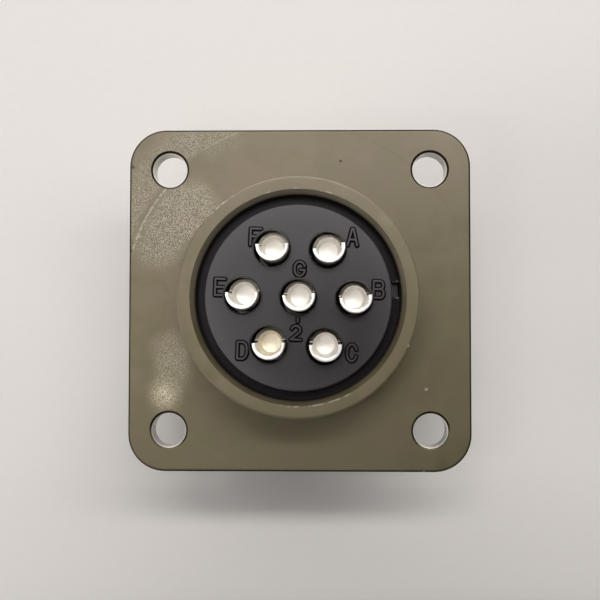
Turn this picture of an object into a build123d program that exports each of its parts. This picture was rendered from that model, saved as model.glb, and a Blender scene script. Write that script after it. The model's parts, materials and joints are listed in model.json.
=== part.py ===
from build123d import *
import os

# Square-flange box-mounting receptacle with seven solder-cup socket contacts.
# Millimetres. The axis is Z, the mating end is at z = 0 and the solder cups are at the top.
# The polarising keyway of the barrel is at +Y.

# Flange
hole_spacing = 24.6
hole_diameter = 3.2
hole_edge_break = 0.2
hole_to_flange_edge = 3.85
flange_thickness = 2.4
flange_corner_radius = 3.5
flange_edge_radius = 0.3

# Insert halves
insert_diameter = 17.9
insert_clearance = 0.1
seat_width = 0.6
nose_clearance = 0.15
nose_edge_break = 0.35
shoulder_width = 0.7
face_edge_break = 0.12
front_collar_thickness = 4.2
rear_collar_thickness = 6.4
boss_height = 2.25
mating_face_recess = 0.8

# How far the insert stands turned in the shell, as its lug lets it
insert_turn = -1.9

# Shell
barrel_length = 14.3
barrel_wall = 2.1
plug_gap = 2.25
mouth_chamfer = 0.4
thread_chamfer = 0.8
relief_width = 1.6
relief_depth = 0.85
web_thickness = 1.4
seat_to_flange = 4.3
spigot_wall = 1.58
spigot_height = 6.6
spigot_chamfer_width = 0.42
spigot_chamfer_depth = 1.0
spigot_edge_radius = 0.25
spigot_root_radius = 0.8
keyway_width = 2.4
keyway_depth = 0.7

# Locating lug of the front insert, and its notch in the web
lug_width = 1.8
lug_height = 0.5
lug_side_clearance = 0.4
lug_top_clearance = 0.1

# Pegs that line up the two insert halves
peg_diameter = 1.2
peg_height = 1.0
peg_clearance = 0.06
peg_rim = 0.5
peg_angles = (30, 210)

# Split retaining ring
ring_thickness = 0.8
ring_play = 0.05
ring_bore_clearance = 0.15
groove_depth = 0.45
ring_gap = 1.3
ring_gap_angle = 4.7
ring_end_radius = 0.2

# Contact pattern: one in the middle and six round it
pitch_radius = 4.9
contact_angles = {"a": 60, "b": 0, "c": -60, "d": -120, "e": 180, "f": 120, "g": None}

# Each cup stands turned a little by itself
cup_turn_angles = {"a": 12, "b": 6, "c": 1, "d": 1, "e": 0, "f": 1, "g": 4}

# Contacts float in their holes, and all seven stand towards the same side
float_clearance = 0.2
float_shift = (0.1, 0.14)

# Solder cup
cup_diameter = 2.8
cup_wall = 0.285
cup_depth = 5.0
cup_projection = 1.95
cup_floor_bevel = 0.25
cup_rim_break = 0.06
cutaway_depth = 3.2
cutaway_offset = 0.05
cutaway_radius = 0.3

# Collar that the insert halves trap
collar_width = 0.5
collar_thickness = 1.8
collar_edge_break = 0.1
front_pocket_depth = 1.0
pocket_play = 0.05

# Socket end and its hood
pin_bore = 1.6
pin_bore_depth = 6.6
pin_lead_in = 0.15
tine_wall = 0.4
slot_width = 0.35
slot_length = 5.4
hood_land_length = 1.0
hood_land_step = 0.03
hood_clearance = 0.02
hood_wall = 0.15
hood_end_wall = 0.2
hood_entry = 1.76
hood_length = 6.9
hood_gap = 0.1
entry_hole_diameter = 2.2
entry_chamfer = 0.3
entry_wall = 1.0

# Sizes that follow from the ones above
flange_width = hole_spacing + 2 * hole_to_flange_edge
insert_bore = insert_diameter + 2 * insert_clearance
nose_diameter = insert_diameter - 2 * seat_width
web_bore = nose_diameter + 2 * nose_clearance
boss_diameter = insert_diameter - 2 * shoulder_width
barrel_bore = nose_diameter + 2 * plug_gap
thread_diameter = barrel_bore + 2 * barrel_wall
relief_diameter = thread_diameter - 2 * relief_depth
spigot_diameter = insert_bore + 2 * spigot_wall
groove_diameter = insert_bore + 2 * groove_depth
ring_outer_diameter = groove_diameter - 2 * ring_play
ring_inner_diameter = boss_diameter + 2 * ring_bore_clearance
cup_bore = cup_diameter - 2 * cup_wall
cup_hole_diameter = cup_diameter + 2 * float_clearance
collar_diameter = cup_diameter + 2 * collar_width
pocket_diameter = collar_diameter + 2 * float_clearance
tine_diameter = pin_bore + 2 * tine_wall
land_diameter = tine_diameter + 2 * hood_land_step
hood_bore = land_diameter + 2 * hood_clearance
hood_diameter = hood_bore + 2 * hood_wall
chamber_diameter = hood_diameter + 2 * float_clearance

# Heights above the mating end
flange_front = barrel_length
flange_rear = flange_front + flange_thickness
spigot_top = flange_rear + spigot_height
seat_height = flange_front - seat_to_flange
web_front = seat_height - web_thickness
parting_height = seat_height + front_collar_thickness
shoulder_height = parting_height + rear_collar_thickness
groove_bottom = shoulder_height - ring_play
groove_top = shoulder_height + ring_thickness + ring_play
rear_face = shoulder_height + boss_height
mating_face = mating_face_recess
chamber_floor = mating_face + entry_wall
hood_front = chamber_floor + hood_gap
hood_rear = hood_front + hood_length
tine_front = hood_front + hood_end_wall + hood_gap
collar_front = parting_height - front_pocket_depth
collar_rear = collar_front + collar_thickness
pocket_rear = collar_rear + pocket_play
cup_end = rear_face + cup_projection
cup_floor = cup_end - cup_depth
cutaway_floor = cup_end - cutaway_depth

# How far a cutter runs past the surface that it opens
overrun = 1.0

# Two sizes this close count as one where an edge is looked up
same_size = 0.0001


def turned(outline):
    """Turn a closed outline of (radius, height) points about the Z axis."""
    section = make_face(Polyline(*outline, close=True))
    return revolve(Plane.XZ * section, Axis.Z)


def rings_at(part, diameter, height):
    """The circular edges of one diameter that lie at one height."""
    circles = part.edges().filter_by(GeomType.CIRCLE)
    wide = circles.filter_by(lambda edge: abs(edge.radius - diameter / 2) < same_size)
    return wide.filter_by(lambda edge: abs(edge.arc_center.Z - height) < same_size)


def block(width, depth, low, high, middle):
    """A box from one height to another, centred at an X and Y."""
    centre = Vector(middle[0], middle[1], (low + high) / 2)
    return Pos(centre) * Box(width, depth, high - low)


def contact_spot(letter):
    """Centre of one contact hole, before the insert is turned."""
    angle = contact_angles[letter]
    if angle is None:
        return Pos(0, 0, 0)
    return Rot(0, 0, angle) * Pos(pitch_radius, 0, 0)


def at_every_contact(cutter):
    """Copies of one cutter at the seven contact holes."""
    return [contact_spot(letter) * cutter for letter in contact_angles]


def flange_plate():
    """Rounded square plate with both its rims rounded."""
    outline = RectangleRounded(flange_width, flange_width, flange_corner_radius)
    plate = Pos(0, 0, flange_front) * extrude(outline, flange_thickness)
    rims = plate.edges().group_by(Axis.Z)[0] + plate.edges().group_by(Axis.Z)[-1]
    return fillet(rims, flange_edge_radius)


def barrel_and_spigot():
    """Outside of the barrel, its relief behind the thread, and the rear spigot."""
    outline = [
        (0, 0),
        (thread_diameter / 2 - thread_chamfer, 0),
        (thread_diameter / 2, thread_chamfer),
        (thread_diameter / 2, flange_front - relief_width),
        (relief_diameter / 2, flange_front - relief_width + relief_depth),
        (relief_diameter / 2, flange_front + flange_thickness / 2),
        (spigot_diameter / 2, flange_front + flange_thickness / 2),
        (spigot_diameter / 2, spigot_top),
        (0, spigot_top),
    ]
    return turned(outline)


def shell_bores():
    """Everything that is turned out of the shell: mouth, web hole, insert bore and groove."""
    outline = [
        (0, -overrun),
        (barrel_bore / 2 + mouth_chamfer + overrun, -overrun),
        (barrel_bore / 2, mouth_chamfer),
        (barrel_bore / 2, web_front),
        (web_bore / 2, web_front),
        (web_bore / 2, seat_height),
        (insert_bore / 2, seat_height),
        (insert_bore / 2, groove_bottom),
        (groove_diameter / 2, groove_bottom),
        (groove_diameter / 2, groove_top),
        (insert_bore / 2, groove_top),
        (insert_bore / 2, spigot_top - spigot_chamfer_depth),
        (insert_bore / 2 + spigot_chamfer_width, spigot_top),
        (insert_bore / 2 + spigot_chamfer_width, spigot_top + overrun),
        (0, spigot_top + overrun),
    ]
    return turned(outline)


def keyway():
    """Slot for the key of the plug, along the barrel bore at +Y."""
    outer = barrel_bore / 2 + keyway_depth
    inner = web_bore / 2
    middle = (0, (inner + outer) / 2)
    return block(keyway_width, outer - inner, -overrun, web_front, middle)


def lug_notch():
    """Notch in the web at -Y that takes the lug of the front insert."""
    outer = nose_diameter / 2 + lug_height + lug_top_clearance
    inner = nose_diameter / 2 - overrun
    width = lug_width + 2 * lug_side_clearance
    middle = (0, -(inner + outer) / 2)
    return block(width, outer - inner, web_front - overrun, seat_height, middle)


def make_shell():
    """Flange, threaded barrel and spigot, cast and turned as one piece."""
    shell = flange_plate() + barrel_and_spigot()
    shell = fillet(rings_at(shell, spigot_diameter, flange_rear), spigot_root_radius)
    shell = fillet(rings_at(shell, spigot_diameter, spigot_top), spigot_edge_radius)
    shell = shell - shell_bores() - keyway() - lug_notch()
    drill = Pos(0, 0, flange_front + flange_thickness / 2) * Cylinder(hole_diameter / 2, 2 * flange_thickness)
    for corner in GridLocations(hole_spacing, hole_spacing, 2, 2):
        shell = shell - corner * drill
    hole_edges = rings_at(shell, hole_diameter, flange_front) + rings_at(shell, hole_diameter, flange_rear)
    return chamfer(hole_edges, hole_edge_break)


def front_hole():
    """Stepped hole for one contact: entry, hood chamber and collar pocket."""
    outline = [
        (0, mating_face - overrun),
        (entry_hole_diameter / 2 + entry_chamfer + overrun, mating_face - overrun),
        (entry_hole_diameter / 2, mating_face + entry_chamfer),
        (entry_hole_diameter / 2, chamber_floor),
        (chamber_diameter / 2, chamber_floor),
        (chamber_diameter / 2, collar_front),
        (pocket_diameter / 2, collar_front),
        (pocket_diameter / 2, parting_height + overrun),
        (0, parting_height + overrun),
    ]
    return turned(outline)


def make_front_insert():
    """Mating half of the insert, with its nose, seat collar, lug and pegs."""
    outline = [
        (0, mating_face),
        (nose_diameter / 2 - nose_edge_break, mating_face),
        (nose_diameter / 2, mating_face + nose_edge_break),
        (nose_diameter / 2, seat_height),
        (insert_diameter / 2, seat_height),
        (insert_diameter / 2, parting_height),
        (0, parting_height),
    ]
    lug_reach = nose_diameter / 2 + lug_height
    lug_middle = (0, -(lug_reach - lug_height))
    lug = block(lug_width, 2 * lug_height, web_front, seat_height, lug_middle)
    insert = turned(outline) + lug
    peg = Pos(0, 0, parting_height) * Cylinder(peg_diameter / 2, 2 * peg_height)
    for angle in peg_angles:
        insert = insert + Rot(0, 0, angle) * Pos(peg_circle_radius(), 0, 0) * peg
    for cutter in at_every_contact(front_hole()):
        insert = insert - cutter
    return insert


def peg_circle_radius():
    """The pegs stand just inside the rim of the insert."""
    return insert_diameter / 2 - peg_rim - peg_diameter / 2


def rear_hole():
    """Stepped hole for one contact: collar pocket, then the hole round the cup."""
    outline = [
        (0, parting_height - overrun),
        (pocket_diameter / 2, parting_height - overrun),
        (pocket_diameter / 2, pocket_rear),
        (cup_hole_diameter / 2, pocket_rear),
        (cup_hole_diameter / 2, rear_face - face_edge_break),
        (cup_hole_diameter / 2 + face_edge_break + overrun, rear_face + overrun),
        (0, rear_face + overrun),
    ]
    return turned(outline)


def make_rear_insert():
    """Cup side of the insert, with the shoulder that the ring holds down."""
    outline = [
        (0, parting_height),
        (insert_diameter / 2, parting_height),
        (insert_diameter / 2, shoulder_height),
        (boss_diameter / 2, shoulder_height),
        (boss_diameter / 2, rear_face - face_edge_break),
        (boss_diameter / 2 - face_edge_break, rear_face),
        (0, rear_face),
    ]
    insert = turned(outline)
    for cutter in at_every_contact(rear_hole()):
        insert = insert - cutter
    socket_radius = peg_diameter / 2 + peg_clearance
    socket = Pos(0, 0, parting_height) * Cylinder(socket_radius, 2 * (peg_height + peg_clearance))
    for angle in peg_angles:
        insert = insert - Rot(0, 0, angle) * Pos(peg_circle_radius(), 0, 0) * socket
    return insert


def make_retaining_ring():
    """Flat ring with a gap, its four end corners rounded."""
    outline = [
        (ring_inner_diameter / 2, shoulder_height),
        (ring_outer_diameter / 2, shoulder_height),
        (ring_outer_diameter / 2, shoulder_height + ring_thickness),
        (ring_inner_diameter / 2, shoulder_height + ring_thickness),
    ]
    middle = ((ring_inner_diameter + ring_outer_diameter) / 4, 0)
    gap_low = shoulder_height - overrun
    gap_high = shoulder_height + ring_thickness + overrun
    gap = block(ring_outer_diameter / 4, ring_gap, gap_low, gap_high, middle)
    ring = turned(outline) - gap
    end_corners = ring.edges().filter_by(Axis.Z).filter_by(lambda edge: edge.center().X > 0)
    ring = fillet(end_corners, ring_end_radius)
    return Rot(0, 0, ring_gap_angle) * ring


def contact_body():
    """Turned contact: slotted socket, shank, collar and solder cup."""
    bore_tip = tine_front + pin_bore_depth
    land_front = hood_rear - hood_land_length
    outline = [
        (pin_bore / 2 + pin_lead_in, tine_front),
        (tine_diameter / 2, tine_front),
        (tine_diameter / 2, land_front),
        (land_diameter / 2, land_front),
        (land_diameter / 2, hood_rear),
        (hood_diameter / 2, hood_rear),
        (hood_diameter / 2, collar_front),
        (collar_diameter / 2 - collar_edge_break, collar_front),
        (collar_diameter / 2, collar_front + collar_edge_break),
        (collar_diameter / 2, collar_rear - collar_edge_break),
        (collar_diameter / 2 - collar_edge_break, collar_rear),
        (cup_diameter / 2, collar_rear),
        (cup_diameter / 2, cup_end - cup_rim_break),
        (cup_diameter / 2 - cup_rim_break, cup_end),
        (cup_bore / 2 + cup_rim_break, cup_end),
        (cup_bore / 2, cup_end - cup_rim_break),
        (cup_bore / 2, cup_floor + cup_floor_bevel),
        (cup_bore / 2 - cup_floor_bevel, cup_floor),
        (0, cup_floor),
        (0, bore_tip),
        (pin_bore / 2, bore_tip - pin_bore / 4),
        (pin_bore / 2, tine_front + pin_lead_in),
    ]
    return turned(outline)


def cutaway():
    """Cutter that opens one side of the solder cup, round in its inner corner."""
    size = cup_diameter + 2 * overrun
    cutter = Box(size, size, size, align=(Align.CENTER, Align.MIN, Align.MIN))
    corner = cutter.edges().filter_by(Axis.X).sort_by(Axis.Z)[:2].sort_by(Axis.Y)[0]
    cutter = fillet(corner, cutaway_radius)
    return Pos(0, cutaway_offset, cutaway_floor) * cutter


def make_contact():
    """One contact on the Z axis, with its cup open towards +Y."""
    slot_top = tine_front + slot_length
    slot = block(hood_diameter, slot_width, tine_front - overrun, slot_top, (0, 0))
    return contact_body() - slot - cutaway()


def make_hood():
    """Thin sleeve over the slotted end, closed in front but for the pin entry."""
    outline = [
        (hood_entry / 2, hood_front),
        (hood_diameter / 2 - hood_wall, hood_front),
        (hood_diameter / 2, hood_front + hood_wall),
        (hood_diameter / 2, hood_rear),
        (hood_bore / 2, hood_rear),
        (hood_bore / 2, hood_front + hood_end_wall),
        (hood_entry / 2, hood_front + hood_end_wall),
    ]
    return turned(outline)


def placed(letter, piece, turn):
    """Stand a contact or hood in its hole, with its own turn and the shared float."""
    shift = Pos(float_shift[0], float_shift[1], 0)
    spot = (Rot(0, 0, insert_turn) * contact_spot(letter)).position
    return shift * Pos(spot) * Rot(0, 0, turn) * piece


def all_pieces():
    """Every piece by name, where it sits in the finished connector."""
    pieces = {
        "shell": make_shell(),
        "front_insert": Rot(0, 0, insert_turn) * make_front_insert(),
        "rear_insert": Rot(0, 0, insert_turn) * make_rear_insert(),
        "retaining_ring": make_retaining_ring(),
    }
    contact = make_contact()
    hood = make_hood()
    for letter in contact_angles:
        pieces["contact_" + letter] = placed(letter, contact, cup_turn_angles[letter])
        pieces["hood_" + letter] = placed(letter, hood, 0)
    return pieces


os.makedirs("parts", exist_ok=True)
for name, piece in all_pieces().items():
    export_step(piece, "parts/" + name + ".step")
    print(name, "solids", len(piece.solids()), "volume mm3", round(piece.volume, 2))
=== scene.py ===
# %% [markdown]
# # A square-flange connector, seen from its solder cups
#
# The object is a small olive-drab receptacle. It stands on its threaded barrel, and we look
# straight down on the flange, the dark insert and seven plated solder cups. The solids come
# packed from the CAD model. They could be modelled again by eye, but loading them as a fixed
# frame keeps every size true, so this script only adds what CAD leaves out: the thread, the
# raised letters, the finishes, the light and the camera.

# %% Load the frame
import json
import math

import bmesh
import bpy
import numpy as np
from mathutils import Matrix, Vector


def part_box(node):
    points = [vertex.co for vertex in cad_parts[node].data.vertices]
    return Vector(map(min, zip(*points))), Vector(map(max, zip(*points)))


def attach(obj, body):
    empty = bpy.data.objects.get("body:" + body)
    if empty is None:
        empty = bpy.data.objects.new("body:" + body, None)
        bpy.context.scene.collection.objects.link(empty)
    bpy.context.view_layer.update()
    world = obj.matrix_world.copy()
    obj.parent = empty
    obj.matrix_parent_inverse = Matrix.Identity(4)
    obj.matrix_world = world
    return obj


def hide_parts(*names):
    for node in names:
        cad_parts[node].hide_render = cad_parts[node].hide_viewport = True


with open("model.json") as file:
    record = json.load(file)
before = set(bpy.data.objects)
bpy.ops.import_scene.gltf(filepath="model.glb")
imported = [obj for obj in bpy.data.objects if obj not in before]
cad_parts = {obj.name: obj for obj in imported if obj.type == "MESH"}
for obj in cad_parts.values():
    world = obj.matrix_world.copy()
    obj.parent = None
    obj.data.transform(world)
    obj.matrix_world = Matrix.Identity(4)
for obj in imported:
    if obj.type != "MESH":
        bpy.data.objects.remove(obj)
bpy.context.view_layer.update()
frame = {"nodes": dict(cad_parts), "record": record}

print("pieces of the frame:", len(frame["nodes"]))

# %% [markdown]
# ## Sizes that the frame gives
#
# A material often needs to know where an edge or a face is, such as a rim that wears pale.
# These places could be typed in by hand, but then they would be wrong after the next change
# in CAD. Reading them from the frame's boxes and from its list of mounting faces keeps the
# paint on the metal. All of them are in millimetres, which suits an object this small.

# %% Read the sizes
MM = 0.001


def box_mm(node):
    """Lowest and highest corner of a CAD node, in millimetres."""
    low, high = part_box(node)
    return np.array(low) / MM, np.array(high) / MM


def middle_mm(node):
    """Centre of a CAD node's box, in millimetres."""
    low, high = box_mm(node)
    return (low + high) / 2


mounts = {mount["name"]: mount for mount in frame["record"]["mounts"]}
flange_top = mounts["panel_face"]["pos_m"][2] / MM
spigot_radius = mounts["rear_spigot"]["dims"]["r_mm"]
thread_radius = mounts["coupling_thread"]["dims"]["r_mm"]
hole_radius = mounts["panel_bolts"]["dims"]["hole_r_mm"]
hole_spacing = mounts["panel_bolts"]["dims"]["spacing_x_mm"]
spigot_top = box_mm("shell")[1][2]
insert_face = box_mm("rear_insert")[1][2]
ring_top = box_mm("retaining_ring")[1][2]
cup_top = box_mm("contact_g")[1][2]

# The hoods stand on the contact axes. The contacts have a little play in the insert, and
# the middle one tells how far all of them stand off the insert's holes
contact_float = middle_mm("hood_g")[:2]
contact_axis = {letter: middle_mm("hood_" + letter)[:2] for letter in "abcdefg"}
hole_axis = {letter: axis - contact_float for letter, axis in contact_axis.items()}
insert_turn = math.atan2(hole_axis["b"][1], hole_axis["b"][0])
print("flange top, spigot top, insert face:", flange_top, spigot_top, insert_face)
print("the insert stands turned by", round(math.degrees(insert_turn), 2), "degrees")

# %% [markdown]
# ## The camera
#
# A close-up from a hand's width away shows strong perspective: the near cups look larger
# than the flange, and the walls of the four holes show on their outer sides. An orthographic
# camera would lose both. The place and tilt below were found by matching the flange corners,
# the holes and the cups. The camera leans a little, as one that is held by hand does.

# %% Stand the camera over the cups
camera_place_mm = (1.71, -2.93, 101.84)
camera_turns = (1.95, 1.11, 0.05)
camera_lens = 54.24
camera_clip_mm = 1

camera_data = bpy.data.cameras.new("camera")
camera_data.lens = camera_lens
camera_data.clip_start = camera_clip_mm * MM
camera = bpy.data.objects.new("camera", camera_data)
camera.location = Vector(camera_place_mm) * MM
camera.rotation_euler = [math.radians(turn) for turn in camera_turns]
bpy.context.scene.collection.objects.link(camera)
bpy.context.scene.camera = camera
bpy.context.scene.view_settings.view_transform = "Standard"
print("camera", camera_place_mm[2], "mm above the table")

# %% [markdown]
# ## A bright ceiling with a dark card below it
#
# The light comes down at a slant from behind the object and from its left, and something
# dark hangs straight over it. That shows in the level faces, which mirror the dark thing:
# the cut-away halves of the cups are dim, although the paper beside them is bright. One lamp
# overhead would whiten just those faces. So each lamp is a part of an imagined ceiling,
# given by the slopes under which the object sees its sides, and a dark card hangs at the
# height of the camera. Slopes keep the shadows right, however high the ceiling is.
#
# The brightest part is a window behind the object. Its left half is brighter than its right
# half, so the paper is a little darker towards the right. Two low lamps stand for the walls
# and reach the flange's sides, and a small one beside the card makes one hot spot.

# %% Make lamps that are given by what they light
ceiling_height = 800
wall_distance = 900
wall_tilt = math.radians(76)
warm_white = (1.0, 0.975, 0.955)
table_centre = (0, 0, 0)


def area_lamp(name, place_mm, size_mm, brightness, aim_mm):
    """A lamp that faces a point. Its power is pi times its area times its brightness."""
    data = bpy.data.lights.new(name, "AREA")
    data.shape = "RECTANGLE"
    data.size, data.size_y = (side * MM for side in size_mm)
    data.energy = math.pi * data.size * data.size_y * brightness
    data.color = warm_white
    lamp = bpy.data.objects.new(name, data)
    lamp.location = Vector(place_mm) * MM
    ahead = Vector(aim_mm) - Vector(place_mm)
    lamp.rotation_euler = ahead.to_track_quat("-Z", "Y").to_euler()
    lamp.visible_camera = False
    bpy.context.scene.collection.objects.link(lamp)


def ceiling_lamp(name, slopes, brightness):
    """A level lamp between two slopes to the right and two slopes to the back.

    Each side lies at its slope times the height of the ceiling."""
    left, right, near, far = (ceiling_height * slope for slope in slopes)
    middle = ((left + right) / 2, (near + far) / 2)
    size = (right - left, far - near)
    area_lamp(name, (*middle, ceiling_height), size, brightness, (*middle, 0))


def wall_lamp(name, turn_degrees, size_mm, brightness):
    """A low lamp at a turn round the object, counted from its right side."""
    turn = math.radians(turn_degrees)
    reach = wall_distance * math.sin(wall_tilt)
    height = wall_distance * math.cos(wall_tilt)
    place = (reach * math.cos(turn), reach * math.sin(turn), height)
    area_lamp(name, place, size_mm, brightness, table_centre)


print("ceiling", ceiling_height, "mm up, walls", wall_distance, "mm away")

# %% Hang the lamps
glint_place_mm = (-28, -13.6, 101)
glint_aim_mm = (-12.6, -9.1, flange_top)
glint_size_mm = (12, 12)

ceiling_lamp("window_left", (-0.28, 0.28, 0.38, 0.50), 15.2)
ceiling_lamp("window_right", (0.28, 0.75, 0.38, 0.50), 10.6)
ceiling_lamp("ceiling_over", (-0.28, 0.75, 0.10, 0.38), 2.0)
ceiling_lamp("ceiling_west", (-0.75, -0.28, 0.36, 0.44), 3.4)
ceiling_lamp("ceiling_left", (-2.2, -1.0, -0.70, 0.00), 2.0)
ceiling_lamp("ceiling_right", (0.75, 1.4, -0.40, 0.60), 2.2)
ceiling_lamp("left_near", (-0.45, -0.16, -0.20, 0.10), 1.4)
wall_lamp("wall_back", 90, (1500, 300), 7.0)
wall_lamp("wall_left", 200, (1000, 300), 3.0)
area_lamp("glint", glint_place_mm, glint_size_mm, 10.0, glint_aim_mm)

# %% Hang the card
card_low_mm, card_high_mm, card_height_mm = (-12, -63), (148, 12), 103


def level_sheet(name, low_mm, high_mm, height_mm):
    """A level rectangle at a height, between its left near corner and its right far one."""
    (left, near), (right, far) = low_mm, high_mm
    corners = [(left, near), (right, near), (right, far), (left, far)]
    mesh = bpy.data.meshes.new(name)
    points = [(x * MM, y * MM, height_mm * MM) for x, y in corners]
    mesh.from_pydata(points, [], [(0, 1, 2, 3)])
    level = bpy.data.objects.new(name, mesh)
    bpy.context.scene.collection.objects.link(level)
    return level


card = level_sheet("card", card_low_mm, card_high_mm, card_height_mm)
card.visible_camera = False
print("card", card_high_mm[0] - card_low_mm[0], "by", card_high_mm[1] - card_low_mm[1], "mm")

# %% [markdown]
# ## Shader maths as plain expressions
#
# Every finish below is a sum of simple ideas, such as a colour, plus a little grain, plus
# wear at one edge. Wiring that by hand takes dozens of nodes that say nothing when read.
# Here a small class stands for one socket, and Python's own signs add the Math nodes, so
# `1 - wear * 0.5` means what it says. Nodes of any other kind come from one method.

# %% A socket that can be added and multiplied
class Field:
    """A value that is worked out at each point of a surface."""

    def __init__(self, paint, socket):
        self.paint = paint
        self.socket = socket

    def __add__(self, other):
        return self.paint.maths("ADD", self, other)

    def __radd__(self, other):
        return self.paint.maths("ADD", other, self)

    def __sub__(self, other):
        return self.paint.maths("SUBTRACT", self, other)

    def __rsub__(self, other):
        return self.paint.maths("SUBTRACT", other, self)

    def __mul__(self, other):
        return self.paint.maths("MULTIPLY", self, other)

    def __rmul__(self, other):
        return self.paint.maths("MULTIPLY", other, self)

    def __truediv__(self, other):
        return self.paint.maths("DIVIDE", self, other)

    def __pow__(self, other):
        return self.paint.maths("POWER", self, other)

    def __abs__(self):
        return self.paint.maths("ABSOLUTE", self)

    def output(self, name):
        """Another output of the same node."""
        return Field(self.paint, self.socket.node.outputs[name])

    def sine(self):
        """Sine of the value in radians."""
        return self.paint.maths("SINE", self)

    def most(self, other):
        """The larger of two values."""
        return self.paint.maths("MAXIMUM", self, other)

    def smooth(self, low, high):
        """0 at low, 1 at high, and an even curve between. Low may be the larger one."""
        settings = {"interpolation_type": "SMOOTHSTEP"}
        sockets = {"Value": self, "From Min": low, "From Max": high}
        return self.paint.node("ShaderNodeMapRange", settings, sockets)

    def within(self, low, high, soft):
        """1 between low and high, falling to 0 over a soft width on both sides."""
        return self.smooth(low - soft, low) * (1 - self.smooth(high, high + soft))


field_words = [word for word in vars(Field) if not word.startswith("__")]
print("a field also knows:", ", ".join(field_words))

# %% A tree of nodes that is filled by short calls
class Paint:
    """A new material, or the world, and short ways to add nodes to it."""

    def __init__(self, owner):
        self.owner = owner
        owner.use_nodes = True
        self.tree = owner.node_tree
        self.tree.nodes.clear()

    def node(self, kind, settings, sockets, output=0):
        """Add one node: its settings first, then the values or links of its sockets."""
        made = self.tree.nodes.new(kind)
        for name, value in settings.items():
            setattr(made, name, value)
        for name, value in sockets.items():
            if isinstance(value, Field):
                self.tree.links.new(value.socket, made.inputs[name])
            else:
                made.inputs[name].default_value = value
        return Field(self, made.outputs[output]) if made.outputs else None

    def maths(self, operation, *values):
        """One Math node."""
        sockets = dict(enumerate(values))
        return self.node("ShaderNodeMath", {"operation": operation}, sockets)

    def mix(self, share, first, second):
        """Colour that goes from the first to the second as share goes from 0 to 1."""
        sockets = {0: share}
        for number, value in ((6, first), (7, second)):
            sockets[number] = value if isinstance(value, Field) else (*value, 1)
        return self.node("ShaderNodeMix", {"data_type": "RGBA"}, sockets, 2)

    def place(self, centre=(0, 0, 0)):
        """X, Y and Z in millimetres from a centre in millimetres."""
        here = self.node("ShaderNodeTexCoord", {}, {}, "Object")
        move = {"Vector": here, "Location": [-side for side in centre], "Scale": [1 / MM] * 3}
        moved = self.node("ShaderNodeMapping", {}, move)
        parts = self.node("ShaderNodeSeparateXYZ", {}, {"Vector": moved})
        return [parts.output(axis) for axis in "XYZ"]

    def vector(self, x, y, z):
        """Three values as one vector."""
        return self.node("ShaderNodeCombineXYZ", {}, {"X": x, "Y": y, "Z": z})

    def noise(self, where, size, detail=2.0, roughness=0.5):
        """Cloudy noise from 0 to 1, with blobs about as large as size."""
        sockets = {"Vector": where, "Scale": 1 / size, "Detail": detail, "Roughness": roughness}
        return self.node("ShaderNodeTexNoise", {}, sockets, "Fac")

    def turn(self, x, y):
        """Turn round the axis in degrees, from -180 to 180, counted from the right side."""
        return self.maths("ARCTAN2", y, x) * (180 / math.pi)

    def spots(self, here, places, reach, soft):
        """1 within a reach of any of some points in millimetres, with a soft edge."""
        total = 0.0
        for place in places:
            sockets = {0: here, 1: place}
            away = self.node("ShaderNodeVectorMath", {"operation": "DISTANCE"}, sockets, "Value")
            total = (1 - away.smooth(reach, reach + soft)) + total
        return total

    def bump(self, height, depth_mm, below=None):
        """Normal of a surface that rises by a depth where height goes from 0 to 1."""
        sockets = {"Height": height, "Distance": depth_mm * MM, "Strength": 1.0}
        if below is not None:
            sockets["Normal"] = below
        return self.node("ShaderNodeBump", {}, sockets)

    def surface(self, **sockets):
        """The finish itself. Fixed numbers are set on the shader's own sockets."""
        named = {name.replace("_", " "): value for name, value in sockets.items()}
        shader = self.node("ShaderNodeBsdfPrincipled", {}, named)
        self.node("ShaderNodeOutputMaterial", {}, {"Surface": shader})
        return self.owner


paint_words = [word for word in vars(Paint) if not word.startswith("__")]
print("a paint knows:", ", ".join(paint_words))

# %% Start a paint, and dress a piece in it
def new_paint(name):
    """Paint for a new material."""
    return Paint(bpy.data.materials.new(name))


def radius_of(x, y):
    """Distance to the axis: the root of x squared plus y squared."""
    return (x * x + y * y) ** 0.5


def dress(node, material):
    """Give a carried-over CAD node its finish."""
    for slot in frame["nodes"][node].material_slots:
        slot.material = material
    print(node, "wears", material.name)


print("materials that came with the frame:", len(bpy.data.materials))

# %% [markdown]
# ## The white room
#
# Pale paper and a pale room stand around the object. A white world would light everything
# evenly and wash the shadows out. The world is therefore white only to the camera, grey to
# what mirrors it, and gives the surfaces almost no light. The lamps do that. The card has
# a black felt, so that nothing comes back from it.

# %% Make the world
fill_strength = 0.05
mirrored_strength = 0.35
seen_strength = 0.85
room_white = (1, 0.985, 0.97, 1)

room = bpy.data.worlds.new("room")
bpy.context.scene.world = room
air = Paint(room)
seen = air.node("ShaderNodeLightPath", {}, {}, "Is Camera Ray")
mirrored = air.node("ShaderNodeLightPath", {}, {}, "Is Glossy Ray")
passed = air.node("ShaderNodeLightPath", {}, {}, "Is Transmission Ray")
strength = fill_strength + seen * (seen_strength - fill_strength)
strength = strength + (mirrored + passed) * (mirrored_strength - fill_strength)
glow = air.node("ShaderNodeBackground", {}, {"Color": room_white, "Strength": strength})
air.node("ShaderNodeOutputWorld", {}, {"Surface": glow})
print("the room gives", fill_strength, "of the light that the camera sees as", seen_strength)

# %% Lay the paper and blacken the card
felt_black = (0.02, 0.02, 0.02)
felt_nap = (0.04, 0.04, 0.04)
paper_grey = (0.77, 0.745, 0.725)
paper_white = (0.80, 0.775, 0.755)
paper_half_mm = 600

felt = new_paint("card_black")
nap = felt.noise(felt.vector(*felt.place()), 0.8)
felt_colour = felt.mix(nap, felt_black, felt_nap)
card.data.materials.append(felt.surface(Base_Color=felt_colour, Roughness=0.9))

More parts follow.
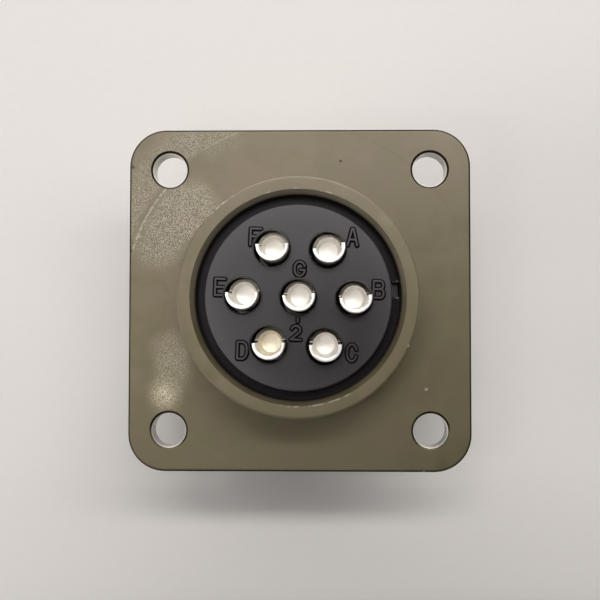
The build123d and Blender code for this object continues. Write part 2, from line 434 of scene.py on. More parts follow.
paper = level_sheet("paper", [-paper_half_mm] * 2, [paper_half_mm] * 2, 0)
sheet = new_paint("paper")
fibres = sheet.noise(sheet.vector(*sheet.place()), 0.9, detail=4.0)
sheet_colour = sheet.mix(fibres, paper_grey, paper_white)
paper.data.materials.append(sheet.surface(Base_Color=sheet_colour, Roughness=0.8))
print("paper", 2 * paper_half_mm, "mm square")

# %% [markdown]
# ## Olive drab on the shell
#
# The shell is a die casting, partly turned, blasted and then given an olive-drab coat. The
# coat is thin and half metallic: it shines broadly under the window and goes dark in the
# spigot's shadow, where an olive paint would stay flat like plastic. Its colour is greyer at
# the back, a painted sheen, and darker at the right and the front, a painted shade. The grain
# is a fine noise in the bump, coarser in a few patches, and the lathe has left faint rings
# round the axis.
#
# The wear, and the painted light and shade at a few edges and spots, is a set of masks, each
# from 0 to 1, made from distances: to the axis, to an edge or to a few points. An image could
# hold it too, but masks stay sharp however near we come.

# %% Choose the olive's colours
olive_green = (0.134, 0.122, 0.061)
olive_brown = (0.176, 0.139, 0.089)
# painted light: a greyer sheen for the back, and a darker shade for the right and the front
olive_painted_sheen = (0.194, 0.162, 0.134)
olive_painted_shade = (0.080, 0.072, 0.022)
# partly painted light: the blasted patches are paler partly as painted sheen, the hot spot gets
# a painted highlight, and the pale specks are partly painted sparkle
blasted_pale_and_painted_light = (0.36, 0.32, 0.24)
painted_highlight_warm = (0.38, 0.32, 0.18)
fleck_and_painted_sparkle = (0.60, 0.56, 0.44)
pale_wear_and_highlight = (0.42, 0.39, 0.31)
# The next colour is dirt in the pits, the nicks and the dark specks, and painted shade at the
# spigot's foot, the mouth's front, the bore, the flange's upper edge and the holes' rims.
dirt_and_painted_shade = (0.022, 0.017, 0.011)
bare_wall = (0.80, 0.78, 0.75)
print("olive", olive_green, olive_brown)

# %% Note the places of the wear and of the painted light
facing_radius = 16.5
mouth_radius = 9.47
mouth_depth = 1.0
bore_radius = 9.05


def on_flange(*places):
    """Points of the flange's rear face from their X and Y, in millimetres."""
    return [(*place, flange_top) for place in places]


# Sets of spots: their places, how far each one reaches, and over what width it fades
hot_spot = (-12.65, -8.99)
# the heart of the hot spot is a painted highlight
hot_spot_highlight = on_flange(hot_spot), 0.2, 1.9
glint_patch = on_flange((-12.2, -4.6), (-11.9, -6.8), hot_spot), 0.4, 2.4
left_patch = on_flange((-13.4, 5.4), (-11.6, 7.8), (-10.2, 8.9)), 1.3, 2.2
back_patch = on_flange((-8.6, 14.6), (-6.6, 15.2)), 0.5, 1.4
pits = on_flange((3.88, 13.13)), 0.06, 0.12
nicks = on_flange((-15.83, 12.61), (-15.96, 4.61)), 0.10, 0.16
spigot_chips = [(9.10, -5.80, spigot_top), (9.63, -4.24, spigot_top)]
chips = spigot_chips + on_flange((11.66, -16.11), (11.9, -8.4)), 0.06, 0.14

# Where the blasting of the back left corner shows: how much Y is more than X
corner_band = (17, 26, 4)

# Pale arcs of the spigot's edges: where they start and end in degrees, and how softly.
# The mouth's arc at the front is a painted highlight, and the rest are worn.
outer_arc = (126, 138, 5)
mouth_highlight_arc = (-95, -62, 6)
mouth_nibbles = ((90, 92, 1), (105, 108, 1), (71, 77, 2))

# Pale arcs along the edge of the faced middle, a painted highlight: radii, degrees and strength
facing_highlight_arcs = (
    ((16.44, 16.52, 0.12), (141, 163, 5), 0.7),
    ((16.85, 16.95, 0.10), (112, 121, 3), 0.3),
)
print("pits, nicks, chips:", *(len(marks[0]) for marks in (pits, nicks, chips)))

# %% Find the blasted patches, the worn edges and the painted highlights
def circle_mask(out, z, radius, level, width):
    """1 on a circle round the axis, falling to 0 at a width from it."""
    away = ((out - radius) ** 2 + (z - level) ** 2) ** 0.5
    return 1 - away.smooth(0, width)


def grain_masks(paint, here, x, y, out):
    """1 where the blasting is coarse, and 1 where it glints near the hot spot.

    The coarse patches lie at the left, at the back and in the corner between them, outside
    the faced middle. A cloudy noise makes their edges ragged."""
    left = paint.spots(here, *left_patch).smooth(0, 1.4)
    back = paint.spots(here, *back_patch) * 0.3
    unfaced = out.smooth(facing_radius, facing_radius + 0.9)
    corner = unfaced * (y - x).within(*corner_band) * 0.7
    ragged = paint.noise(here, 1.6, detail=3.0).smooth(0.15, 0.45)
    glint = paint.spots(here, *glint_patch).smooth(0, 1.3) * 0.6
    return left.most(back).most(corner) * ragged, glint


def rub_and_highlight_mask(out, z, turn):
    """1 where an edge is pale: short arcs of the spigot's two edges, worn, and at the front of
    the mouth a painted highlight.
    """
    outer = circle_mask(out, z, spigot_radius - 0.1, spigot_top - 0.05, 0.18)
    mouth = circle_mask(out, z, mouth_radius + 0.02, spigot_top, 0.14)
    first, second, third = (turn.within(*nibble) for nibble in mouth_nibbles)
    short = first.most(second).most(third) * 0.8
    # the mouth's front arc is a painted highlight
    return outer * turn.within(*outer_arc) + mouth * turn.within(*mouth_highlight_arc) + mouth * short


def highlight_arc_mask(out, turn):
    """1 on the arcs of painted highlight at the facing cut's edge: a band of radii times a band
    of turns.
    """
    first, second = (
        out.within(*radii) * turn.within(*turns) * share
        for radii, turns, share in facing_highlight_arcs
    )
    return first + second


print("rubbed arcs:", 2 + len(mouth_nibbles), "and", len(facing_highlight_arcs), "streaks")

# %% Find the bare walls and the painted shade of dark edges
hole_edge = (0.02, 0.05)
hole_ring = 0.19
hole_ring_shift = 0.03
hole_ring_soft = 0.06
bore_edge = (0.14, 0.06)
line_depth = (0.05, 0.25, 0.04)

# The barrel and the spigot lie within this, and the flange's sides lie outside it
side_start = 14.5


def hole_masks(x, y):
    """Bare wall of the four holes, and a ring of painted shade round their edges.

    The distance to the nearest axis comes from the sizes of X and Y, because the four holes
    are alike. The ring is a touch wider at the back of each hole, and fades at the outer
    side of the two front ones."""
    across = abs(x) - hole_spacing / 2
    up = abs(y) - hole_spacing / 2
    away = (across * across + up * up) ** 0.5
    wall = 1 - away.smooth(hole_radius + hole_edge[0], hole_radius + hole_edge[1])
    rear = y.smooth(-1, 1)
    back = (rear * 2 - 1) * up / hole_radius
    edge = hole_radius + hole_ring + hole_ring_shift * back
    # painted shade: a near-black ring round each hole's edge, a touch wider at the back
    ring = (away - edge).smooth(hole_ring_soft, 0) * (1 - wall)
    faded = (up + across * 0.5).smooth(0.2, 1.2) * (1 - rear)
    return wall, ring * (1 - faded * 0.7)


def painted_shade_black(x, y, z, out):
    """Painted shade: 1 in the bore below its chamfer, and on a thin line along the flange's
    upper edge.
    """
    bore = out.smooth(bore_radius + bore_edge[0], bore_radius + bore_edge[1])
    below_mouth = (spigot_top - z).smooth(mouth_depth - 0.2, mouth_depth - 0.05)
    side = abs(x).most(abs(y)).smooth(side_start - 0.1, side_start + 0.1)
    edge = (flange_top - z).within(*line_depth) * side
    return (bore * below_mouth * 0.85).most(edge)


print("holes at", hole_spacing / 2, "mm, bare over a radius of", hole_radius, "mm")

# %% Mix the colour of the coat
def coat_colour(paint, here, x, y, clouds):
    """The coat before its wear: mottled, with a painted sheen at the back and painted shade at
    the right and the front.
    """
    mottle = paint.noise(here, 2.2).smooth(0.35, 0.65)
    colour = paint.mix(mottle * 0.6 + clouds * 0.4, olive_green, olive_brown)
    # painted sheen at the back, then painted shade at the right and the front
    colour = paint.mix(y.smooth(-2, 10) * (0.1 + 0.4 * clouds), colour, olive_painted_sheen)
    painted_shade_share = (x.smooth(3, 13) * y.smooth(14, 6)).most(y.smooth(-6, -14) * 0.5)
    return paint.mix(painted_shade_share * (0.15 + 0.3 * mottle), colour, olive_painted_shade)


def blasted_colour(paint, here, colour, coarse, glint):
    """Pale patches, partly painted sheen, a painted highlight at the hot spot, and pale and dark
    specks in all of them, the pale ones partly painted sparkle.
    """
    specks = paint.noise(here, 0.06, detail=0.0)
    painted_highlight = paint.spots(here, *hot_spot_highlight)
    patches = coarse.most(glint)
    bright = patches.most(painted_highlight) * specks.smooth(0.52, 0.64) * (0.55 + 0.45 * painted_highlight)
    dark = patches * specks.smooth(0.48, 0.36) * 0.6
    # paler patches, partly painted sheen, then the painted highlight of the hot spot, then
    # specks, the pale ones partly painted sparkle
    colour = paint.mix(coarse * 0.3, colour, blasted_pale_and_painted_light)
    colour = paint.mix(painted_highlight * 0.5, colour, painted_highlight_warm)
    return paint.mix(dark, paint.mix(bright, colour, fleck_and_painted_sparkle), dirt_and_painted_shade)


def wear_and_painted_light_colour(paint, here, y, z, out, turn, colour):
    """Worn edges with a painted highlight on the mouth's front arc, painted shade at the
    spigot's foot and at the front of its mouth, and painted light at the back of its mouth.
    """
    worn = paint.noise(here, 0.4, detail=4.0).smooth(0.40, 0.60)
    colour = paint.mix(rub_and_highlight_mask(out, z, turn) * worn * 0.7, colour, pale_wear_and_highlight)
    # painted shade round the spigot's foot and at the front of its mouth
    foot = circle_mask(out, z, spigot_radius + 0.2, flange_top, 0.6)
    mouth = out.smooth(mouth_radius + 0.02, mouth_radius - 0.06)
    mouth = mouth * (z - spigot_top + mouth_depth).smooth(0, 0.3)
    colour = paint.mix((foot * 0.3).most(mouth * y.smooth(3, -3) * 0.2), colour, dirt_and_painted_shade)
    # painted light at the back of the mouth
    return paint.mix(mouth * y.smooth(-3, 3) * 0.6, colour, blasted_pale_and_painted_light)


def marked_colour(paint, here, colour, black, wall):
    """Painted shade on the rims, dark pits and nicks, pale chips, and the bare walls of the
    holes over all.
    """
    dark = paint.spots(here, *pits) + paint.spots(here, *nicks) * 0.7
    colour = paint.mix(black.most(dark), colour, dirt_and_painted_shade)
    colour = paint.mix(paint.spots(here, *chips) * 0.9, colour, pale_wear_and_highlight)
    return paint.mix(wall, colour, bare_wall)


# the streaks are painted highlight, and the wear and the marks hold painted light and shade as
# well
print("layers of colour: coat, blasting, streaks, wear, marks")

# %% Mix the olive finish
grain_depth = 0.03
lathe_rings_a_mm = 9
lathe_lines_a_mm = 4


def olive_finish():
    """Olive coat with blasted patches, a lathe-faced middle and worn edges, with painted sheen
    and highlights, and painted shade on its dark rims.
    """
    paint = new_paint("olive_drab")
    x, y, z = paint.place()
    here = paint.vector(x, y, z)
    out = radius_of(x, y)
    turn = paint.turn(x, y)
    clouds = paint.noise(here, 5.0, detail=3.0)
    fine = paint.noise(here, 0.20, roughness=0.6)
    turned = paint.vector(out * lathe_rings_a_mm, z * lathe_lines_a_mm, 0)
    lathe = paint.noise(turned, 1.0, detail=3.0)
    coarse, glint = grain_masks(paint, here, x, y, out)
    wall, ring = hole_masks(x, y)
    # painted shade in the bore, along the flange's upper edge and round the holes, which also
    # turns metallic so that it loses its sheen
    black = painted_shade_black(x, y, z, out).most(ring)

    colour = coat_colour(paint, here, x, y, clouds)
    colour = blasted_colour(paint, here, colour, coarse, glint)
    face = (z - flange_top).smooth(-0.3, -0.1)
    # painted highlight along the edge of the faced middle
    arc_highlight = highlight_arc_mask(out, turn) * fine.smooth(0.3, 0.6) * face
    colour = paint.mix(arc_highlight, colour, pale_wear_and_highlight)
    colour = wear_and_painted_light_colour(paint, here, y, z, out, turn, colour)
    colour = marked_colour(paint, here, colour, black, wall)

    step = out.smooth(facing_radius - 0.15, facing_radius + 0.15)
    relief = fine * (0.16 + 0.2 * clouds) + lathe * 0.1 * (1 - step) + step * 0.3
    blasted = paint.noise(here, 0.09, detail=1.0, roughness=0.6) * coarse.most(glint)
    return paint.surface(
        Base_Color=colour,
        Roughness=0.48 + 0.08 * clouds + 0.04 * fine + 0.2 * black - 0.35 * glint,
        Metallic=0.5 + 0.45 * black,
        Normal=paint.bump(blasted, grain_depth, paint.bump(relief, grain_depth)),
        Specular_IOR_Level=0.8,
    )


olive_material = olive_finish()
print("olive nodes:", len(olive_material.node_tree.nodes))

# %% [markdown]
# ## The thread of the barrel
#
# Below the flange the barrel carries the thread that the plug's nut screws on, 20 turns to
# the inch. CAD keeps it as a plain cylinder, because a helix makes its solids heavy. A
# screw modifier could wind a profile up, but it leaves open ends. Here the barrel is one
# sheared grid: its columns go round, its rows climb by one pitch in each turn, and the
# radius at each point is the smallest of the thread, the lead-in and the relief.

# %% Work out the thread
thread_pitch = 1.27
thread_depth = 0.78
crest_share = 0.125
root_share = 0.25
lead_in = 0.8
relief_radius = 11.85
relief_start = 12.7
flange_bottom = 14.3


def thread_radius_at(turn_share):
    """Radius of the thread at a share of one pitch: crest, flank, root and flank again.

    The distance to the middle of the crest, as a share of the pitch, goes through a
    straight flank, which is clipped at the crest and at the root."""
    away = np.abs((turn_share + 0.5) % 1.0 - 0.5)
    flank = (away - crest_share / 2) / (0.5 - crest_share / 2 - root_share / 2)
    return thread_radius - thread_depth * np.clip(flank, 0, 1)


def barrel_grid(columns=240, rows_a_turn=16):
    """Points (rows, columns, 3) of the barrel's outside, in millimetres.

    The height is the pitch times the row's turn plus the share of the way round, clipped at
    both ends of the barrel. One turn below and one above them fill the slanted ends. The
    lead-in and the start of the relief are cones, so there radius and height change alike."""
    turns = math.ceil(flange_bottom / thread_pitch) + 2
    row = np.arange(turns * rows_a_turn + 1)[:, None] / rows_a_turn - 1
    angle = np.linspace(0, 2 * math.pi, columns + 1)[None, :]
    height = thread_pitch * (row - 0.5 + angle / (2 * math.pi))
    height = np.clip(height, 0, flange_bottom)
    radius = thread_radius_at(row + 0 * angle)
    radius = np.minimum(radius, thread_radius - lead_in + height)
    relief = np.maximum(relief_radius, thread_radius + relief_start - height)
    radius = np.minimum(radius, relief)
    return np.stack([radius * np.cos(angle), radius * np.sin(angle), height], axis=-1)


barrel = barrel_grid()
print("thread grid", barrel.shape[:2], "turns", round(relief_start / thread_pitch, 1))

# %% Tools that put arrays into meshes
merge_reach = 0.0005


def grid_faces(rows, columns):
    """Four corners of each cell of a grid of points, counted row by row."""
    first = np.arange(rows - 1)[:, None] * columns + np.arange(columns - 1)[None, :]
    first = first.ravel()
    return np.stack([first, first + 1, first + columns + 1, first + columns], axis=1)


def mesh_of(name, points, *faces):
    """A mesh from points in millimetres and one or more arrays of faces."""
    mesh = bpy.data.meshes.new(name)
    corners = [corner for group in faces for corner in group.tolist()]
    mesh.from_pydata((points * MM).tolist(), [], corners)
    mesh.validate()
    return mesh


def merged(mesh):
    """A copy of the mesh with its doubled points merged and no face of over four corners."""
    work = bmesh.new()
    work.from_mesh(mesh)
    bmesh.ops.remove_doubles(work, verts=work.verts, dist=merge_reach * MM)
    bmesh.ops.triangulate(work, faces=[face for face in work.faces if len(face.verts) > 4])
    copy = bpy.data.meshes.new(mesh.name + "_merged")
    work.to_mesh(copy)
    work.free()
    return copy


def corners_of(mesh):
    """Points of a mesh in millimetres (points, 3), read as one array."""
    points = np.empty(3 * len(mesh.vertices))
    mesh.vertices.foreach_get("co", points)
    return points.reshape(-1, 3) / MM


def triangles_of(mesh):
    """Corners of each triangle of a mesh (triangles, 3), read as one array."""
    mesh.calc_loop_triangles()
    corners = np.empty(3 * len(mesh.loop_triangles), int)
    mesh.loop_triangles.foreach_get("vertices", corners)
    return corners.reshape(-1, 3)


def shade_smooth(mesh, crease_degrees=30):
    """Smooth faces, with a sharp edge wherever two faces meet at more than the angle."""
    mesh.polygons.foreach_set("use_smooth", np.ones(len(mesh.polygons), bool))
    mesh.set_sharp_from_angle(angle=math.radians(crease_degrees))


def add_piece(name, mesh):
    """A new piece of the object, which rides on its one body."""
    piece = bpy.data.objects.new(name, mesh)
    bpy.context.scene.collection.objects.link(piece)
    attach(piece, "root")
    return piece


print("cells of the thread grid:", len(grid_faces(*barrel.shape[:2])))

# %% [markdown]
# ## Join the thread to the shell
#
# The grid has to become part of the casting, not a sleeve around it. A boolean cut could do
# that, and would leave thousands of thin faces. It is simpler to take a merged copy of the
# shell, leave out the plain outside of the barrel, put the grid in its place and bridge the
# two rims that are left open. The copy then stands in for the shell.

# %% Build the threaded shell
slack = 0.01


def shell_without_barrel():
    """Points and triangles of the shell, less the plain outside of its barrel.

    A triangle of that outside has all its corners between the relief's radius and the
    thread's, none above the flange's lower face, and isn't level."""
    plain = merged(frame["nodes"]["shell"].data)
    points, triangles = corners_of(plain), triangles_of(plain)
    radius = np.hypot(points[:, 0], points[:, 1])
    height = points[:, 2]
    outside = (radius > relief_radius - slack) & (radius < thread_radius + slack)
    outside &= height < flange_bottom + slack
    upright = np.ptp(height[triangles], axis=1) > slack
    barrel_faces = outside[triangles].all(axis=1) & upright
    print("plain barrel faces left out:", barrel_faces.sum())
    return points, triangles[~barrel_faces]


def threaded_shell():
    """The shell with its thread, as one closed mesh."""
    cells = grid_faces(*barrel.shape[:2])
    thread = merged(mesh_of("thread", barrel.reshape(-1, 3), cells))
    mesh = mesh_of("threaded_shell", *shell_without_barrel())
    work = bmesh.new()
    work.from_mesh(mesh)
    work.from_mesh(thread)
    rims = [edge for edge in work.edges if edge.is_boundary]
    for level in (0, flange_bottom):
        rim = [edge for edge in rims if abs(edge.verts[0].co.z - level * MM) < slack * MM]
        bmesh.ops.bridge_loops(work, edges=rim)
    bmesh.ops.remove_doubles(work, verts=work.verts, dist=merge_reach * MM)
    bmesh.ops.recalc_face_normals(work, faces=work.faces)
    print("open edges:", sum(not edge.is_manifold for edge in work.edges))
    work.to_mesh(mesh)
    work.free()
    shade_smooth(mesh)
    return mesh


shell_mesh = threaded_shell()
shell = add_piece("threaded_shell", shell_mesh)
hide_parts("shell")
even = shell.modifiers.new("even", "WEIGHTED_NORMAL")
even.keep_sharp = True
shell_mesh.materials.append(olive_material)
print("threaded shell:", len(shell_mesh.polygons), "faces")

# %% [markdown]
# ## Dark moulded plastic
#
# Both halves of the insert are moulded from a dark, slightly violet grey. The moulding is
# satin: it mirrors the window as a pale veil, goes darker on the side away from it, and its
# colour is a little paler towards the rim, a painted sheen. One finish serves the insert and
# the letters, so that they read as one moulding. The letters also get a soft dark line on
# their flanks and along their feet, a painted shade. A dark colour alone would still mirror
# the window there, so the line turns metallic as well, which takes the sheen away.

# %% Mix the insert's finish
plastic_grey = (0.0135, 0.0110, 0.0130)
plastic_pale = (0.0180, 0.0146, 0.0172)
# painted light on the insert: a paler sheen towards the rim, then painted shade on the letters'
# flanks and feet
plastic_rim_sheen = (0.040, 0.034, 0.039)
plastic_painted_shade = (0.0035, 0.0030, 0.0035)
insert_rim = (6.2, 8.4)


def plastic_finish(name, crease=None):
    """Satin moulding with fine orange peel, a painted sheen towards the rim, and painted shade
    along an attribute if one is named.
    """
    paint = new_paint(name)
    x, y, z = paint.place()
    here = paint.vector(x, y, z)
    clouds = paint.noise(here, 3.0, detail=3.0)
    peel = paint.noise(here, 0.22)
    rim = radius_of(x, y).smooth(*insert_rim)
    colour = paint.mix(clouds, plastic_grey, plastic_pale)
    # painted sheen: paler towards the rim
    colour = paint.mix(rim * 0.6, colour, plastic_rim_sheen)
    rough = 0.30 + 0.08 * clouds
    dark = 0.0
    if crease is not None:
        dark = paint.node("ShaderNodeAttribute", {"attribute_name": crease}, {}, "Fac")
        # painted shade on the letters' flanks and feet, metallic too so that it loses its sheen
        colour = paint.mix(dark, colour, plastic_painted_shade)
        rough = rough + dark * 0.4
    return paint.surface(
        Base_Color=colour,
        Roughness=rough,
        Metallic=dark,
        Normal=paint.bump(peel, 0.003),
        Specular_IOR_Level=0.6,
    )


plastic = plastic_finish("moulded_plastic")
dress("rear_insert", plastic)
dress("front_insert", plastic)

# %% [markdown]
# ## Raised letters
#
# Each contact has its letter on the moulding, with a small figure and a tick under the
# middle one. A font would give thin, sharp-cornered letters, while a mould cutter leaves
# round-ended strokes of one width. So every letter is a few lines and arcs, and its height
# at each point of a fine grid comes from the distance to the nearest of them: full height
# near the line, then a steep smooth flank, then a thin foot that dips into the face.

# %% Draw the strokes
def arc(middle, reach, start, end, points=13):
    """Points on an ellipse from one angle to another, in degrees.

    Each is the middle plus the reach times the cosine and the sine of its angle."""
    angle = np.radians(np.linspace(start, end, points))
    return np.array(middle) + np.array(reach) * np.stack([np.cos(angle), np.sin(angle)], axis=1)


def line(*points):
    """Straight strokes from point to point."""
    return np.array(points, float)


def bowl(end):
    """The open round of C and G: two half ellipses, from 15 degrees to an end."""
    upper = arc((0, 0.08), (0.5, 0.42), 15, 180)
    lower = arc((0, -0.08), (0.5, 0.42), 180, end)
    return np.concatenate([upper, lower])


# Every glyph lies in a box one unit wide and one unit high, round its own middle
glyphs = {
    "A": [
        line((-0.5, -0.5), (-0.08, 0.5), (0.08, 0.5), (0.5, -0.5)),
        line((-0.33, -0.15), (0.33, -0.15)),
    ],
    "B": [
        line((-0.5, -0.5), (-0.5, 0.5), (0.15, 0.5)),
        arc((0.15, 0.26), (0.28, 0.24), 90, -90),
        line((0.15, 0.02), (-0.5, 0.02)),
        arc((0.18, -0.24), (0.32, 0.26), 90, -90),
        line((0.18, -0.5), (-0.5, -0.5)),
    ],
    "C": [bowl(345)],
    "D": [
        line((-0.5, -0.5), (-0.5, 0.5), (0, 0.5)),
        np.concatenate([
            arc((0, 0.1), (0.5, 0.4), 90, 0),
            arc((0, -0.1), (0.5, 0.4), 0, -90),
        ]),
        line((0, -0.5), (-0.5, -0.5)),
    ],
    "E": [
        line((0.5, 0.5), (-0.5, 0.5), (-0.5, -0.5), (0.5, -0.5)),
        line((-0.5, 0), (0.35, 0)),
    ],
    "F": [
        line((0.5, 0.5), (-0.5, 0.5), (-0.5, -0.5)),
        line((-0.5, 0.02), (0.35, 0.02)),
    ],
    "G": [bowl(360), line((0.5, -0.08), (0.08, -0.08))],
    "2": [
        np.concatenate([
            arc((0, 0.2), (0.45, 0.3), 165, -35),
            line((-0.5, -0.5), (0.5, -0.5)),
        ]),
    ],
    "tick": [line((0, 0.5), (0, -0.5))],
}

# Middle of each glyph on the insert, in millimetres before the insert is turned, and its size
glyph_places = {
    "A": ((4.60, 5.40), (0.82, 1.45)),
    "B": ((7.02, 0.89), (0.88, 1.45)),
    "C": ((4.85, -4.69), (0.82, 1.45)),
    "D": ((-4.71, -4.81), (0.82, 1.45)),
    "E": ((-6.85, 0.66), (0.84, 1.43)),
    "F": ((-3.88, 5.16), (0.90, 1.43)),
    "G": ((0.07, 2.48), (0.88, 1.24)),
    "2": ((-0.08, -3.12), (0.86, 1.20)),
    "tick": ((0.06, -1.97), (0.10, 0.32)),
}
print("glyphs:", " ".join(glyphs))

# %% Raise one glyph from the face
stroke_half_width = 0.075
flank_width = 0.11
letter_height = 0.16
foot_width = 0.09
foot_height = 0.004
foot_dip = 0.03
letter_cell = 0.03
shade_soft = 0.02


def distance_to_strokes(points, strokes):
    """Distance from each point to the nearest straight piece of the strokes.

    A point is dropped on each piece, at the share of it from 0 to 1 that lies nearest."""
    starts = np.concatenate([stroke[:-1] for stroke in strokes])
    spans = np.concatenate([stroke[1:] - stroke[:-1] for stroke in strokes])
    offset = points[:, None, :] - starts
    share = np.clip((offset * spans).sum(axis=2) / (spans**2).sum(axis=1), 0, 1)
    gap = offset - share[..., None] * spans
    return np.sqrt((gap**2).sum(axis=2)).min(axis=1)


def even_step(value, low, high):
    """0 below low, 1 above high, and 3t^2 - 2t^3 between, where t is the share of the way."""
    share = np.clip((value - low) / (high - low), 0, 1)
    return share * share * (3 - 2 * share)


def glyph_relief(glyph):
    """Grid of one glyph before its turn: points (rows, columns, 3), the painted shade of its
    flank and foot, and which points belong to it.

    The height is that of the face and the foot, plus a rise that falls off over the flank,
    less a dip that comes in over the last of the foot. The painted shade comes in where the
    flank starts and is gone where the foot ends."""
    middle, size = glyph_places[glyph]
    strokes = [stroke * size for stroke in glyphs[glyph]]
    flank_end = stroke_half_width + flank_width
    foot_end = flank_end + foot_width
    half_size = np.array(size) / 2 + (foot_end + 2 * letter_cell)
    across, up = (np.arange(-half, half, letter_cell) for half in half_size)
    grid = np.stack(np.meshgrid(across, up), axis=-1)
    away = distance_to_strokes(grid.reshape(-1, 2), strokes).reshape(grid.shape[:2])
    rise = (letter_height - foot_height) * (1 - even_step(away, stroke_half_width, flank_end))
    dip = (foot_height + foot_dip) * even_step(away, flank_end + 0.6 * foot_width, foot_end)
    height = insert_face + foot_height + rise - dip
    shade = even_step(away, stroke_half_width - shade_soft, stroke_half_width + 2 * shade_soft)
    shade *= 1 - even_step(away, flank_end - shade_soft, foot_end)
    points = np.concatenate([grid + middle, height[..., None]], axis=-1)
    return points, shade, away < foot_end + letter_cell


print("a letter stands", letter_height, "mm high on strokes", 2 * stroke_half_width, "mm wide")

# %% Close the glyphs and put them on the insert
hole_margin = 1.72


def closed_relief(points, faces, floor_height):
    """Top faces, the same faces below at one height, and a wall along every open edge.

    An edge is open if no other face runs along it the other way."""
    count = len(points)
    below = points.copy()
    below[:, 2] = floor_height
    edges = np.concatenate([faces[:, [side, (side + 1) % 4]] for side in range(4)])
    forward = edges[:, 0] * count + edges[:, 1]
    backward = edges[:, 1] * count + edges[:, 0]
    rim = edges[~np.isin(forward, backward)]
    walls = np.stack([rim[:, 1], rim[:, 0], rim[:, 0] + count, rim[:, 1] + count], axis=1)
    return np.concatenate([points, below]), [faces, faces[:, ::-1] + count, walls]


def glyph_mesh(glyph):
    """One glyph as a closed solid that stands a little way into the insert.

    It is turned as the insert is, and its points too near the axis of a hole are left out."""
    points, shade, near = glyph_relief(glyph)
    turn = Matrix.Rotation(insert_turn, 3, "Z")
    points = points.reshape(-1, 3) @ np.array(turn).T
    holes = np.stack(list(hole_axis.values()))
    gap = np.linalg.norm(points[:, None, :2] - holes, axis=2).min(axis=1)
    keep = near.ravel() & (gap > hole_margin)
    faces = grid_faces(*shade.shape)
    faces = faces[keep[faces].all(axis=1)]
    used, faces = np.unique(faces, return_inverse=True)
    faces = faces.reshape(-1, 4)
    points, groups = closed_relief(points[used], faces, insert_face - 2 * foot_dip)
    return points, groups, np.tile(shade.ravel()[used], 2)


def letters_mesh():
    """All glyphs in one mesh, with the painted shade of their flanks and feet as an attribute.
    """
    all_points, all_faces, all_shades, count = [], [], [], 0
    for glyph in glyphs:
        points, groups, shade = glyph_mesh(glyph)
        all_points.append(points)
        all_faces += [group + count for group in groups]
        all_shades.append(shade)
        count += len(points)
    mesh = mesh_of("insert_letters", np.concatenate(all_points), *all_faces)
    crease = mesh.attributes.new("crease", "FLOAT", "POINT")
    crease.data.foreach_set("value", np.concatenate(all_shades).astype(np.float32))
    shade_smooth(mesh, 60)
    return mesh


letters = add_piece("insert_letters", letters_mesh())
letters.data.materials.append(plastic_finish("lettered_plastic", "crease"))
print("letters:", len(letters.data.polygons), "faces")

# %% [markdown]
# ## The blackened ring
#
# A split ring of black spring steel holds the insert down. It sits deep between the insert
# and the bore and shows only as a dark band, but its two ends at the right catch the light,
# because the black has rubbed off their edges. The mask for that wear is the distance from
# the middle of the gap.

# %% Mix the ring's finish
ring_black = (0.009, 0.007, 0.009)
ring_bare = (0.20, 0.19, 0.19)
ring_gap_middle = (8.87, 0.72)
ring_gap_half = 0.65
ring_gap_soft = 0.35


def ring_finish():
    """Black oxide on steel, worn bare at the two ends.

    The distance counts the way outwards for less than the way round the bore, so that the
    bare patch takes in the whole width of both ends."""
    paint = new_paint("black_ring")
    here = paint.vector(*paint.place())
    specks = paint.noise(here, 0.25, detail=3.0)
    outwards, round_about, _ = paint.place((*ring_gap_middle, ring_top))
    away = abs(outwards) * 0.4 + abs(round_about)
    near_gap = 1 - away.smooth(ring_gap_half, ring_gap_half + ring_gap_soft)
    return paint.surface(
        Base_Color=paint.mix(near_gap * specks.smooth(0.4, 0.6), ring_black, ring_bare),
        Roughness=0.32 + 0.2 * specks,
        Metallic=0.8,
        Normal=paint.bump(specks, 0.004),
    )


dress("retaining_ring", ring_finish())

# %% [markdown]
# ## Plated cups and steel hoods
#
# The contacts are turned from brass and plated bright. Turning leaves rings on the floor of
# each cup and fine lines round the outside. Half of each cup's wall is cut away, and the
# level shelf that is left mirrors the dark card, while the floor and the wall inside stay
# evenly bright. Pure metal would mirror the card there too, so inside the cup the finish is
# less metallic and scatters more light. The shelf's colour is darkened as well, a painted
# shade. Each contact stands on its own axis, so a Mapping node moves the pattern there. The
# plating of one cup is yellower, as on the real part.

# %% Mix the plating
plating = (0.94, 0.91, 0.87)
floor_tint = (0.99, 0.97, 0.92)
floor_tints = {"d": (0.97, 0.90, 0.74)}
# painted shade: a dark colour for the cut-away shelf of each cup
shelf_painted_shade = (0.19, 0.175, 0.145)
turning_pitch = 0.10
turned_lines_a_mm = 14
cup_bore_radius = 1.115
cutaway_depth = 3.2
cup_depth = 1.8
cup_shelf = cup_top - cutaway_depth
cup_floor = cup_shelf - cup_depth


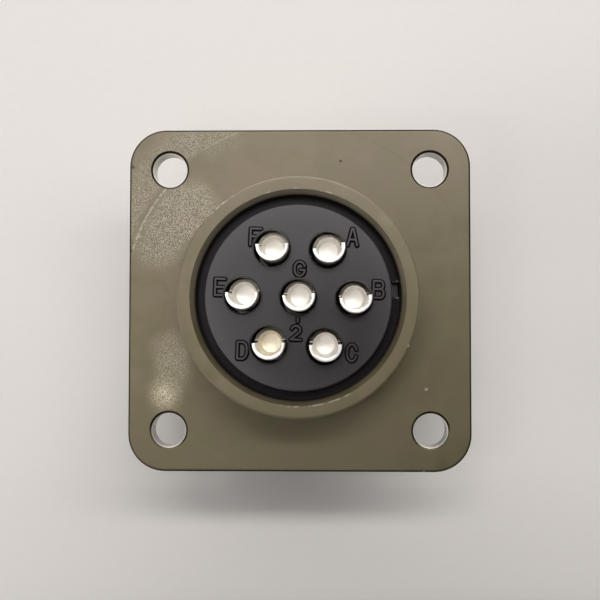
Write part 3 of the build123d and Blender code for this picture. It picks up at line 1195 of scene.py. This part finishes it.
def plated_finish(letter):
    """Bright plating: turning rings on the cup's floor, and a shelf darkened by painted shade.

    The rings are the sine of the radius, one wave to each pitch, set off a little by noise."""
    paint = new_paint("plating_" + letter)
    x, y, z = paint.place((*contact_axis[letter], 0))
    here = paint.vector(x, y, z)
    out = radius_of(x, y)
    inside = (out - cup_bore_radius + 0.03).smooth(0.04, 0)
    shelf = abs(z - cup_shelf).smooth(0.12, 0.04) * (1 - inside)
    wall = inside * (z - cup_floor).smooth(0.05, 0.15)
    wander = paint.noise(here, 0.5)
    rings = (out * (2 * math.pi / turning_pitch) + wander * 3).sine() * 0.5 + 0.5
    turned = paint.vector(out * turned_lines_a_mm, z * turned_lines_a_mm, 0)
    lines = paint.noise(turned, 1.0)
    cast = paint.noise(here, 0.4, detail=3.0)
    colour = paint.mix(inside, plating, floor_tints.get(letter, floor_tint))
    # the shelf's colour is darkened by painted shade
    return paint.surface(
        Base_Color=paint.mix(shelf, colour, shelf_painted_shade),
        Roughness=0.34 + 0.10 * cast + 0.07 * inside - 0.2 * shelf,
        Metallic=1 - 0.35 * inside - 0.5 * wall,
        Normal=paint.bump(rings * (0.2 + 0.8 * inside) + lines * 0.4, 0.007),
    )


for letter in contact_axis:
    dress("contact_" + letter, plated_finish(letter))

# %% Mix the hoods' steel
hood_grey = (0.56, 0.56, 0.55)
hood_pale = (0.63, 0.63, 0.62)
lines_round_a_mm = 12
lines_along_a_mm = 0.6


def hood_finish():
    """Drawn stainless steel with fine lines along its length."""
    paint = new_paint("drawn_steel")
    x, y, z = paint.place()
    stretched = paint.vector(x * lines_round_a_mm, y * lines_round_a_mm, z * lines_along_a_mm)
    drawn = paint.noise(stretched, 1.0, detail=3.0)
    return paint.surface(
        Base_Color=paint.mix(drawn, hood_grey, hood_pale),
        Roughness=0.28 + 0.12 * drawn,
        Metallic=1.0,
        Normal=paint.bump(drawn, 0.003),
    )


steel = hood_finish()
for letter in contact_axis:
    dress("hood_" + letter, steel)

# %% [markdown]
# ## Done
#
# Looks never change a size, and with the hoods dressed the script is done.
